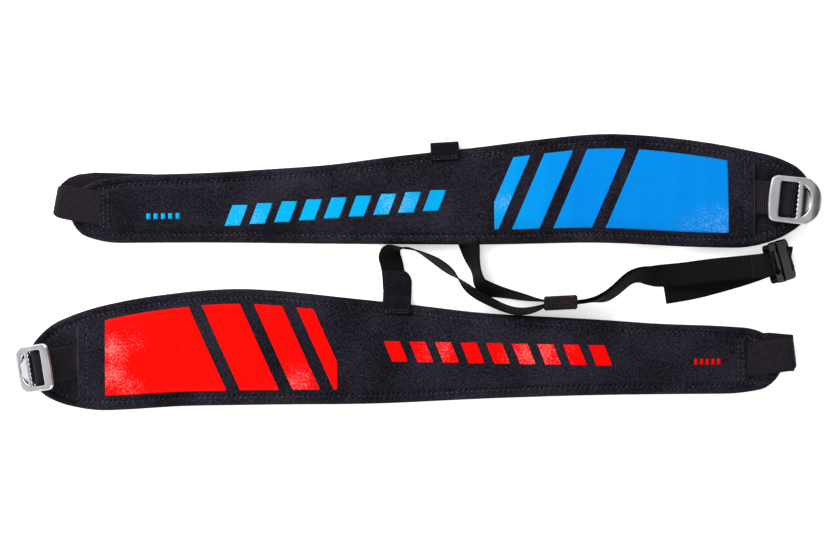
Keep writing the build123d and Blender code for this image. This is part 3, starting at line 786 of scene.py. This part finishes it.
def swollen(outline):
    """How far cloth simulation swells the stuffed pad, as a function of the place in plan.

    The stitch rows and the underside are held, and the rest swells under pressure.
    """
    count = 2 * HALF_STEPS
    high, low = 8.2, 2.4  # of the stuffing before it swells
    most = 3.0  # how far a point may move
    rings = [(inset, level(z)) for inset, z in
             ((9.0, high), (4.0, high), (1.6, 7.0), (1.0, 5.0), (1.6, 3.2), (9.0, low))]
    verts, faces = padded_shell(outline, rings, level(high), level(low), 8)
    mesh = bpy.data.meshes.new("stuffing")
    mesh.from_pydata((verts * MM).tolist(), [], faces)
    obj = linked("stuffing", mesh)
    remesh = obj.modifiers.new("remesh", "REMESH")
    remesh.mode = "VOXEL"
    remesh.voxel_size = 0.005
    bpy.context.view_layer.objects.active = obj
    obj.select_set(True)
    bpy.ops.object.modifier_apply(modifier="remesh")
    before = np.array([v.co for v in obj.data.vertices])
    edge = BVHTree.FromPolygons(
        [(*p, 0.0) for p in outline.loop * MM] + [(*p, 0.02) for p in outline.loop * MM],
        [(i, (i + 1) % count, count + (i + 1) % count, count + i) for i in range(count)])
    held = obj.vertex_groups.new(name="held")
    for i, (x, y, z) in enumerate(before):
        depth = edge.find_nearest((x, y, 0.005))[3] / MM
        if z < 0.0045 or SEAMS[0] - 1.0 < depth < SEAMS[1] + 1.5:
            held.add([i], 1.0, "REPLACE")
    cloth = obj.modifiers.new("cloth", "CLOTH")
    settings = cloth.settings
    settings.use_pressure = True
    settings.uniform_pressure_force = 4.0
    settings.vertex_group_mass = "held"
    settings.shrink_min = -0.03
    settings.effector_weights.gravity = 0.0
    cloth.point_cache.frame_start = 1
    cloth.point_cache.frame_end = 20
    for number in range(1, 21):
        bpy.context.scene.frame_set(number)
    bpy.ops.object.modifier_apply(modifier="cloth")
    after = np.array([v.co for v in obj.data.vertices])
    bpy.context.scene.frame_set(1)
    moved = after - before
    far = np.linalg.norm(moved, axis=1)
    after = before + moved * (np.minimum(far, most * MM) / np.maximum(far, 1e-9))[:, None]
    tree = BVHTree.FromPolygons([tuple(p) for p in after],
                                [tuple(p.vertices) for p in obj.data.polygons])
    bpy.data.objects.remove(obj)

    def swell(x, y):
        heights = []
        for a, b in zip(np.atleast_1d(x), np.atleast_1d(y)):
            hit = tree.ray_cast(Vector((a * MM, b * MM, 0.05)), Vector((0, 0, -1)))[0]
            heights.append((hit.z / MM - high) / most if hit is not None else 0.0)
        return np.clip(np.array(heights), -0.3, 1.2)

    return swell


def seam(depth):
    """How deep the stitch rows pull the cloth in: 0 none, 1 full."""
    pull = np.zeros_like(np.asarray(depth, float))
    for row in SEAMS:
        pull = np.maximum(pull, np.exp(-((depth - row) / 0.85) ** 2))
    return pull


def cover_heights(swell):
    """The cover's upper surface as a function of the place and of the depth from the edge.

    A rolled rim, a shallow channel at the stitch rows, puckers beside them and slow waves.
    """
    rim, shoulder_low, crown = 3.6, 5.4, 9.6

    def top(x, y, depth, along):
        depth = np.broadcast_to(np.asarray(depth, float), np.shape(x))
        roll = np.sqrt(np.clip(1 - ((rim - depth) / (rim + 0.2)) ** 2, 0, 1))
        z = np.where(depth < rim, shoulder_low + (crown - shoulder_low) * roll, crown)
        z = z - 0.9 * smoothstep((depth - 4.0) / 3.0) * (1 - smoothstep((depth - 9.2) / 4.0))
        z = z + 0.5 * np.clip(swell(x, y), 0, 1) * smoothstep(depth / 3.0) * (1 - seam(depth))
        z = z - 0.65 * seam(depth)
        pucker = np.sin(2 * math.pi * along / 9.3 + 2.2 * np.sin(along / 31.0))
        near = np.exp(-((depth - 5.2) / 2.4) ** 2)
        z = z + 0.22 * pucker * near * (0.6 + 0.4 * np.sin(along / 57.0))
        z = z + 0.16 * ripple(x, y, 3, 60.0, 18.0) * smoothstep(depth / 2.0)
        return np.minimum(z, COVER_TOP)
    return top


def pressed(side, name, x, y):
    """The underside's height where webbing and a tab lie below the pad."""
    runs = []
    if name == "right":
        a = unplaced(side, shifted([(22.5, 92, 0), (45.5, 11, 0)]))
        runs.append((a[0], a[1], 11.0))
        b = unplaced(side, shifted([(23.0, 108, 0), (22.4, 88, 0)]))
        runs.append((b[0], b[1], 13.5))
    t = np.array(side["tail"], float)
    middle = (t[:, 1].max() + t[:, 1].min()) / 2
    runs.append((np.array([t[:, 0].min(), middle]), np.array([45.0, middle]),
                 (t[:, 1].max() - t[:, 1].min()) / 2))
    lift = np.zeros_like(x)
    for a, b, half in runs:
        d = b - a
        long = np.linalg.norm(d)
        d = d / long
        u = (x - a[0]) * d[0] + (y - a[1]) * d[1]
        v = np.abs(-(x - a[0]) * d[1] + (y - a[1]) * d[0])
        out = np.hypot(np.maximum(0, np.maximum(-u, u - long)), np.maximum(0, v - half))
        lift = np.maximum(lift, 1 - smoothstep((out - 1.0) / 8.0))
    return 0.25 + 1.62 * lift


def pad(name, side, outline):
    """The stuffed cover and the mesh lining under it; returns the cover's height function."""
    top = cover_heights(swollen(outline))
    under, lining_top = 2.1, 2.05
    insets = (13.0, 11.2, 10.2, 9.6, 9.0, 8.4, 8.0, 7.6, 7.0,
              6.4, 5.6, 4.6, 3.6, 2.6, 1.7, 0.9, 0.3)
    rings = [(inset, top) for inset in insets]
    rings += [(0.0, level(5.0, 0.08)), (0.05, level(3.8)), (0.5, level(2.7)), (1.4, level(2.15)),
              (6.0, level(under))]
    verts, faces = padded_shell(outline, rings, top, level(under))
    shell = piece(f"{name}_pad", placed(side, verts), faces, cover_cloth)
    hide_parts(f"{name}_front_cover", f"{name}_foam_core")

    def base(x, y, depth, along):
        z = pressed(side, name, x, y)
        return np.minimum(z + 0.5 * seam(depth), 1.9)

    def lip(z):
        return lambda x, y, depth, along: np.maximum(z, pressed(side, name, x, y))

    rings = [(13.0, level(lining_top)), (3.0, level(lining_top)), (1.6, level(2.0)),
             (1.1, lip(1.6)), (1.1, lip(1.0)), (1.6, lip(0.5))]
    rings += [(inset, base) for inset in
              (2.4, 4.5, 6.2, 6.6, 7.0, 7.4, 8.0, 8.6, 9.0, 9.4, 10.2, 13.0)]
    verts, faces = padded_shell(outline, rings, level(lining_top), base, 16)
    lining = piece(f"{name}_lining", placed(side, verts), faces, mesh_cloth)
    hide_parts(f"{name}_back_lining")
    return top


# ---- face panel --------------------------------------------------------------------------
def panel_height(outline, side):
    """The face panel's upper surface as a function of the place.

    It rises from its sewn edges to the webbing channel, with puckers along the edges, slow
    waves, and a thicker fold with a stitched groove at each end.
    """
    def height(x, y):
        upper, lower = outline.edges_at(x, PANEL_INSET)
        out = np.minimum(upper - y, y - lower)
        reach = np.maximum(np.where(y > 0, upper, -lower) - CHANNEL_HALF, 3.0)
        t = np.clip(out / reach, 0, 1)
        z = PANEL_EDGE + (PANEL_TOP - PANEL_EDGE) * (1 - (1 - t) ** 1.6)
        pucker = np.sin(2 * math.pi * x / 10.4 + 2.0 * np.sin(x / 29.0) + np.sign(y))
        z = z + 0.22 * pucker * np.exp(-out / 4.0) * smoothstep(out / 1.5)
        z = z + 0.30 * np.clip(ripple(x, 0.4 * y, 11, 70.0, 22.0), -0.2, 1) * smoothstep(out / 12)
        left = panel_end(side, y) - x
        z = z + 0.45 * (1 - smoothstep((left - 6.5) / 1.5)) * smoothstep(out / 3.0)
        z = z - 0.5 * np.exp(-((left - FOLD_ROW) / 0.7) ** 2) * smoothstep(out / 3.0)
        z = z + 0.3 * (1 - smoothstep((x - 7.0) / 2.0)) * smoothstep(out / 3.0)
        return z
    return height


def face_panel(name, side, outline, height):
    """The flat sleeve sewn over the pad, with a painted highlight along the folded edge of its wide
    end.
    """
    stations = np.concatenate([np.linspace(0, 0.02, 10)[:-1], np.linspace(0.02, 0.975, 300)[:-1],
                               np.linspace(0.975, 0.997, 12)[:-1], np.linspace(0.997, 1.0, 5)])
    rows = 40
    end = side["end"][0]
    shares = (1 - np.cos(np.linspace(0, math.pi, rows + 1))) / 2
    flat = []
    for s in stations:
        for f in shares:
            x = PANEL_START + s * (end - PANEL_START)
            for _ in range(2):  # the slanted end's x depends on y, and the edges' y on x
                upper, lower = outline.edges_at(x, PANEL_INSET)
                y = lower + f * (upper - lower)
                x = PANEL_START + s * (panel_end(side, y) - PANEL_START)
            flat.append((x, y, 0.0))
    flat = np.array(flat)
    top = height(flat[:, 0], flat[:, 1])
    faces, rim = grid(len(stations) - 1, rows)
    verts, every = thickened(flat, faces, rim, top, top - PANEL_THICK)
    left = panel_end(side, verts[:, 1]) - verts[:, 0]
    # a painted highlight along the fold at the wide end, standing for light caught on the folded
    # edge; it goes to the material in the weave attribute's third value
    painted_highlight = np.exp(-(left / 0.7) ** 2) * (0.55 + 0.35 * ripple(verts[:, 1], 0 * left, 5, 30.0, 9.0))
    weave = np.column_stack([verts[:, :2] * MM, np.clip(painted_highlight, 0, 1)])
    panel = piece(f"{name}_face_panel", placed(side, verts), every, panel_cloth,
                  attribute=weave)
    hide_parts(f"{name}_face_sleeve")
    upper, lower = outline.edges_at(np.linspace(0, end, 40), PANEL_INSET)


# ---- stitching ---------------------------------------------------------------------------
def stitches(name, lines, pitch=4.5, long=2.8, radius=0.58):
    """Separate stitches along lines in metres in the row frame, with their ends sunk in."""
    ends = np.array([-0.5, -0.38, 0.0, 0.38, 0.5]) * long * MM
    sizes = np.array([0.12, 0.8, 1.0, 0.8, 0.12]) * radius * MM
    sinks = np.array([-0.9, -0.15, 0.15, -0.15, -0.9]) * radius * MM
    sides = 6
    around = np.linspace(0, 2 * math.pi, sides, endpoint=False)
    verts, faces = [], []
    for line in lines:
        total = np.linalg.norm(np.diff(line, axis=0), axis=1).sum()
        count = max(1, int(total / (pitch * MM)))
        knots = resampled(line, 2 * count + 1)
        for i in range(count):
            middle = knots[2 * i + 1]
            t = knots[2 * i + 2] - knots[2 * i]
            t /= np.linalg.norm(t)
            side = np.cross((0, 0, 1), t)
            side /= np.linalg.norm(side)
            up = np.cross(t, side)
            start = len(verts)
            for e, r, z in zip(ends, sizes, sinks):
                for a in around:
                    verts.append(middle + t * e + up * (z + r * math.sin(a))
                                 + side * r * math.cos(a))
            for ring in range(start, start + sides * (len(ends) - 1), sides):
                for a in range(sides):
                    b = (a + 1) % sides
                    faces.append((ring + a, ring + b, ring + sides + b, ring + sides + a))
            last = start + sides * (len(ends) - 1)
            faces.append(tuple(range(start + sides - 1, start - 1, -1)))
            faces.append(tuple(range(last, last + sides)))
    return piece(name, verts, faces, thread, closed=False)


def rim_stitching(name, side, outline, top):
    """Two rows round the pad's rim."""
    lines = []
    for row in SEAMS:
        ring = outline.ring(row)
        z = top(ring[:, 0], ring[:, 1], row, outline.along) + 0.1
        line = placed(side, np.column_stack([ring, z]))
        lines.append(np.concatenate([line, line[:1]]))
    obj = stitches(f"{name}_rim_stitches", lines)
    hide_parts(f"{name}_rim_stitching")


def panel_stitching(name, side, outline, height):
    """Rows across the panel's narrow end and along the folded edge of its wide end."""
    lines = []
    for row in (lambda y: 0.6 + 0 * y, lambda y: 4.6 + 0 * y,
                lambda y: panel_end(side, y) - FOLD_ROW):
        upper, lower = outline.edges_at(row(0.0), PANEL_INSET)
        y = np.linspace(lower + 1.5, upper - 1.5, 40)
        x = row(y)
        lines.append(placed(side, np.column_stack([x, y, height(x, y) + 0.12])))
    obj = stitches(f"{name}_panel_stitches", lines, pitch=3.8, long=2.5, radius=0.5)
    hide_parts(f"{name}_sleeve_stitching")


# ---- prints ------------------------------------------------------------------------------
def clipped(polygon, corners):
    """A polygon cut to a convex one, both counter-clockwise."""
    result = [np.array(p, float) for p in polygon]
    for a, b in zip(corners, corners[1:] + corners[:1]):
        a, b = np.array(a, float), np.array(b, float)
        edge = b - a
        inside = [edge[0] * (p[1] - a[1]) - edge[1] * (p[0] - a[0]) >= 0 for p in result]
        kept = []
        for i, p in enumerate(result):
            q = result[i - 1]
            if inside[i] != inside[i - 1]:
                top = edge[0] * (q[1] - a[1]) - edge[1] * (q[0] - a[0])
                low = edge[0] * (p[1] - a[1]) - edge[1] * (p[0] - a[0])
                kept.append(q + (p - q) * top / (top - low))
            if inside[i]:
                kept.append(p)
        result = kept
        if len(result) < 3:
            return []
    return result


def grid_over(polygons, step):
    """Quads over shapes that a line of constant x crosses once: points, faces and rim edges."""
    flat, faces, rim = [], [], []
    for polygon in polygons:
        if len(polygon) < 3:
            continue
        a = np.array(polygon, float)
        b = np.roll(a, -1, axis=0)
        low, high = a[:, 0].min(), a[:, 0].max()
        stations = np.unique(np.round(np.concatenate([
            np.clip(a[:, 0], low + 0.1, high - 0.1),
            np.arange(low + step, high - step / 2, step)]), 1))
        rows = max(2, int(np.ptp(a[:, 1]) / step))
        quads, edges = grid(len(stations) - 1, rows, len(flat))
        faces += quads
        rim += edges
        for x in stations:
            crossed = [p[1] + (q[1] - p[1]) * (x - p[0]) / (q[0] - p[0]) for p, q in zip(a, b)
                       if min(p[0], q[0]) <= x <= max(p[0], q[0]) and abs(q[0] - p[0]) > 1e-6]
            flat += [(x, y, 0.0) for y in np.linspace(min(crossed), max(crossed), rows + 1)]
    return np.array(flat), faces, rim


def print_on(name, side, polygons, height, material, node):
    """Thin film that follows the panel's surface."""
    flat, faces, rim = grid_over(polygons, 2.0)
    under = height(flat[:, 0], flat[:, 1])
    verts, every = thickened(flat, faces, rim, under + 0.26, under + 0.05)
    obj = piece(name, placed(side, verts), every, material)
    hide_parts(node)


def slanted(x, width, low, high, lean=0.0):
    """A parallelogram that leans along x."""
    reach = lean * (high - low)
    return [(x, low), (x + width, low), (x + width + reach, high), (x + reach, high)]


def prints(name, side, outline, height):
    """Four broad slanted stripes, a row of slanted dashes and a row of small bars."""
    field = outline.ring(FILM_INSET)[::-1]
    far = 90  # further out in y than any pad
    start, end = side["film"]
    polygons = []
    x = start - 40
    for width in (14, 24, 34, 160):
        stripe = clipped(field, slanted(x, width, -far, far, 0.45))
        polygons.append(clipped(stripe, slanted(start, end - start, -far, far)))
        x += width + 12
    big, small = (blue_print, cyan_print) if name == "right" else (red_print, red_print)
    print_on(f"{name}_emblem", side, polygons, height, big, f"{name}_emblem_film")
    start, end, middle, rise = side["dashes"]
    count = 9
    pitch = (end - start) / count
    dashes = []
    for i in range(count):
        along = start + (i + 0.5) * pitch
        up = middle + (along - start) * math.sin(math.radians(rise))
        dashes.append([(px + along, py + up)
                       for px, py in slanted(-0.3 * pitch, 0.62 * pitch, -9, 9, 0.4)])
    print_on(f"{name}_dashes", side, dashes, height, small, f"{name}_stripe_film")
    start, end, middle = side["marks"]
    count = 5
    pitch = (end - start) / count
    bars = [slanted(start + i * pitch, 0.6 * pitch, middle - 2.5, middle + 2.5)
            for i in range(count)]
    print_on(f"{name}_marks", side, bars, height, small, f"{name}_side_mark")


# ---- main webbing ------------------------------------------------------------------------
def lock_strap(name, side):
    """Out of the sleeve's mouth, round the ladder lock's bar and back."""
    end = side["end"][0]
    bar_x, bar_z = side["bar"]
    radius = BAR_R + 0.85  # of the webbing's middle line round the bar
    stations = 120

    def tangent(start, sign):
        """Where a straight run from a point touches the wrap round the bar."""
        across, up = bar_x - start[0], bar_z - start[1]
        far = math.hypot(across, up)
        return math.atan2(up, across) + sign * (math.acos(radius / far) - math.pi)

    upper = tangent((end + 3, UPPER_RUN), -1)
    lower = tangent((end + 3, LOWER_RUN), 1)
    turn = (upper - lower) % (2 * math.pi)
    wrap = [(bar_x + radius * math.cos(upper - turn * k / 24),
             bar_z + radius * math.sin(upper - turn * k / 24)) for k in range(25)]
    line = np.array([(end - 14, UPPER_RUN), (end + 1, UPPER_RUN), (end + 4, UPPER_RUN + 0.2)]
                    + wrap + [(end + 4, LOWER_RUN + 0.1), (end + 1, LOWER_RUN),
                              (end - 14, LOWER_RUN)])
    line = averaged(resampled(line, stations))
    path, beside = (placed(side, swung(side, np.column_stack(
        [line[:, 0], np.full(stations, y), line[:, 1]]))) for y in (0.0, 1.0))
    obj = ribbon(f"{name}_lock_strap", path, beside - path, LOAD_WIDTH * MM, LOAD_THICK * MM,
                 webbing, columns=14)
    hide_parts(f"{name}_buckle_webbing", f"{name}_load_webbing")


def end_loop(name, side):
    """Out of the narrow-end seam, round the pad's end and down to its back."""
    turn, bend = side["loop"]
    low = 0.75  # height of the webbing's middle line under the pad
    radius = (UPPER_RUN - low) / 2
    start = -4.0  # x of the point that the loop is turned about
    reach = (bend + radius + low - start) / math.cos(math.radians(turn))
    arc = [(reach - radius * math.sin(a), UPPER_RUN - radius + radius * math.cos(a))
           for a in np.linspace(0, math.pi, 22)]
    line = np.array([(14.0, UPPER_RUN), (3.5, UPPER_RUN)] + arc)
    line = resampled(line, 70)

    def turned(y):
        x, y = rotated(line[:, 0], y, -turn)
        return placed(side, np.column_stack([start + x, y, line[:, 1]]))

    path, beside = turned(0.0), turned(1.0)
    # the webbing narrows a little towards the fold, at the line's least x
    fold = np.clip((reach + 1.2 * radius - line[:, 0]) / (2.2 * radius), 0, 1)
    half = (LOAD_WIDTH / 2 - 3.0 * fold ** 4) * MM
    obj = ribbon(f"{name}_end_loop", path, beside - path, LOAD_WIDTH * MM, LOAD_THICK * MM,
                 webbing, columns=14, widths=(half, half))
    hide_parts(f"{name}_end_loop_webbing")


def loop_tail(name, side):
    """The flat end of the loop, sewn under the pad."""
    flat, faces, rim = grid_over([side["tail"]], 2.6)
    border = {i for pair in rim for i in pair}
    soft = np.array([0.35 if i in border else 0.0 for i in range(len(flat))])  # thinner rim
    verts, every = thickened(flat, faces, rim, 1.45 - soft, 0.08 + soft)
    weave = verts[:, [1, 0, 2]] * MM
    obj = piece(f"{name}_loop_tail", placed(side, verts), every, webbing,
                attribute=weave)
    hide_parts(f"{name}_end_loop_tail")


for side_name, side_data in SIDES.items():
    edge_line = Outline(side_data, f"{side_name}_front_cover")
    cover_top = pad(side_name, side_data, edge_line)
    surface = panel_height(edge_line, side_data)
    face_panel(side_name, side_data, edge_line, surface)
    rim_stitching(side_name, side_data, edge_line, cover_top)
    panel_stitching(side_name, side_data, edge_line, surface)
    prints(side_name, side_data, edge_line, surface)
    lock_strap(side_name, side_data)
    end_loop(side_name, side_data)
    loop_tail(side_name, side_data)


# ---- hardware ----------------------------------------------------------------------------
def own_axes(mesh):
    """A turn that lays a CAD mesh's commonest flat faces along the axes."""
    areas = np.array([p.area for p in mesh.polygons])
    large = np.argsort(-areas)[:1500]  # enough to find its main directions
    areas = areas[large]
    normals = np.array([mesh.polygons[int(i)].normal for i in large])
    weight = (np.abs(normals @ normals.T) > 0.999) @ areas
    up = normals[int(np.argmax(weight))]
    level = np.abs(normals @ up) < 0.02
    ahead = normals[int(np.argmax(np.where(level, weight, 0.0)))]
    ahead = ahead - up * (ahead @ up)
    ahead /= np.linalg.norm(ahead)
    return Matrix([ahead, np.cross(up, ahead), up]).to_4x4()


def cast(node, name, voxel, rounds, material, body):
    """A CAD node with the soft edges of casting or moulding."""
    bm = bmesh.new()
    bm.from_mesh(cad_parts[node].data)
    bmesh.ops.remove_doubles(bm, verts=bm.verts, dist=1e-7)
    mesh = bpy.data.meshes.new(name)
    bm.to_mesh(mesh)
    bm.free()
    turn = own_axes(mesh)
    mesh.transform(turn)
    obj = linked(name, mesh)
    remesh = obj.modifiers.new("remesh", "REMESH")
    remesh.mode = "VOXEL"
    remesh.voxel_size = voxel * MM
    soften = obj.modifiers.new("soften", "SMOOTH")
    soften.factor = 0.5
    soften.iterations = rounds
    bpy.context.view_layer.update()
    made = bpy.data.meshes.new_from_object(
        obj.evaluated_get(bpy.context.evaluated_depsgraph_get()))
    obj.modifiers.clear()
    made.transform(turn.transposed())
    obj.data = made
    made.polygons.foreach_set("use_smooth", [True] * len(made.polygons))
    made.materials.clear()
    made.materials.append(material)
    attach(obj, body)
    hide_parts(node)


for side_name in SIDES:
    cast(f"{side_name}_ladder_lock", f"{side_name}_lock", 0.4, 14, metal,
         f"{side_name}_lock")
cast("chest_buckle_female", "chest_buckle_socket", 0.35, 3, plastic, "root")
cast("chest_buckle_male", "chest_buckle_plug", 0.35, 3, plastic, "root")
for letter in "ab":
    cast(f"chest_buckle_prong_{letter}", f"chest_prong_{letter}", 0.3, 2, plastic,
         f"prong_{letter}")


# ---- tabs and keeper ---------------------------------------------------------------------
def bound_tab(name, at, turn, line, cut_away, node):
    """A cloth tab drawn in YZ, with two rows of stitching.

    cut_away is how much of its width is rounded away at one corner of its far end.
    """
    stations = 60
    line = resampled(np.array(line, float), stations)
    for _ in range(12):
        line = averaged(line)

    def spot(x, y, z):
        x, y = rotated(x, y, turn)
        return shifted(np.column_stack([at[0] + x, at[1] + y, z]))

    path, beside = (spot(x, line[:, 0], line[:, 1]) for x in (0.0, -1.0))
    cut = np.clip((np.linspace(0, 1, stations) - 0.72) / 0.28, 0, 1)
    left = np.full(stations, TAB_WIDTH / 2)
    right = left - cut_away * (1 - np.sqrt(1 - cut ** 2))
    obj = ribbon(name, path, beside - path, TAB_WIDTH * MM, TAB_THICK * MM, tab_cloth,
                 columns=16, widths=(right * MM, left * MM))
    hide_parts(node)
    across = np.linspace(-10.8, 10.8, 20)
    top = np.full(20, line[0, 1] + 0.62)
    lines = [spot(across, y + 0 * across, top) for y in (-8.4, -6.4)]
    sewn = stitches(f"{name}_stitches", lines, pitch=3.0, long=2.0, radius=0.42)
    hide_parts(node.replace("chest_tab", "tab_stitching"))


bound_tab("right_tab", (23.0, 106.2), 3.5,
          [(-9.4, TAB_FACE), (5.0, TAB_FACE), (5.6, 10.0), (5.9, 6.0), (5.6, 2.2), (4.4, 1.2),
           (-14, 1.1)], 0.0, "right_chest_tab")
bound_tab("left_tab", (-18.9, -28.2), -2.0,
          [(-9.4, TAB_FACE), (1.0, TAB_FACE), (3.4, 8.0), (6.4, 4.0), (10, 2.9), (28.5, 2.8)],
          9.0, "left_chest_tab")


def keeper():
    """A band of tab cloth sewn into a loop round both chest straps, with rolled ends."""
    around, steps = 64, 28
    length, wide, high, wall = 28.6, 12.6, 21.6, 1.1
    middle = (124.3, -28.2, 11.6)
    power = 0.62  # of the rounded oblong that it is in section
    lean = 0.05
    mean_radius = 0.011  # round the band, in metres
    verts, weave = [], []
    for i in range(steps + 1):
        share = 2 * i / steps - 1
        x = share * length / 2
        # a raised rim inside each end, a groove before it, and an edge that rolls in
        roll = (0.25 * math.exp(-((abs(share) - 0.88) / 0.06) ** 2)
                - 0.35 * math.exp(-((abs(share) - 0.76) / 0.04) ** 2)
                - 1.1 * (max(0, abs(share) - 0.88) / 0.12) ** 2)
        for inner in (0, 1):
            for k in range(around):
                a = 2 * math.pi * k / around
                c, s = math.cos(a), math.sin(a)
                grow = -0.2 * roll if inner else roll
                ridge = 0.0 if inner else 0.45 * math.exp(-((a - 1.95) / 0.12) ** 2)
                y = math.copysign(abs(c) ** power, c) * (wide / 2 - inner * wall + grow)
                z = math.copysign(abs(s) ** power, s) * (high / 2 - inner * wall + grow + ridge)
                dent = -0.7 * math.exp(-(x / 8.0) ** 2) * max(s, 0)
                verts.append((middle[0] + x, middle[1] + y + lean * x, middle[2] + z + dent))
                weave.append((x * MM, a * mean_radius, 0.0))
    ring = 2 * around
    faces = []
    for i in range(steps):
        for k in range(around):
            m = (k + 1) % around
            a, b = i * ring, (i + 1) * ring
            faces.append((a + k, a + m, b + m, b + k))
            faces.append((a + around + k, b + around + k, b + around + m, a + around + m))
    for base in (0, steps * ring):
        for k in range(around):
            m = (k + 1) % around
            faces.append((base + k, base + around + k, base + around + m, base + m))
    obj = piece("chest_keeper_band", shifted(verts), faces, keeper_cloth, "keeper",
                attribute=weave)
    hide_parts("chest_keeper")


keeper()
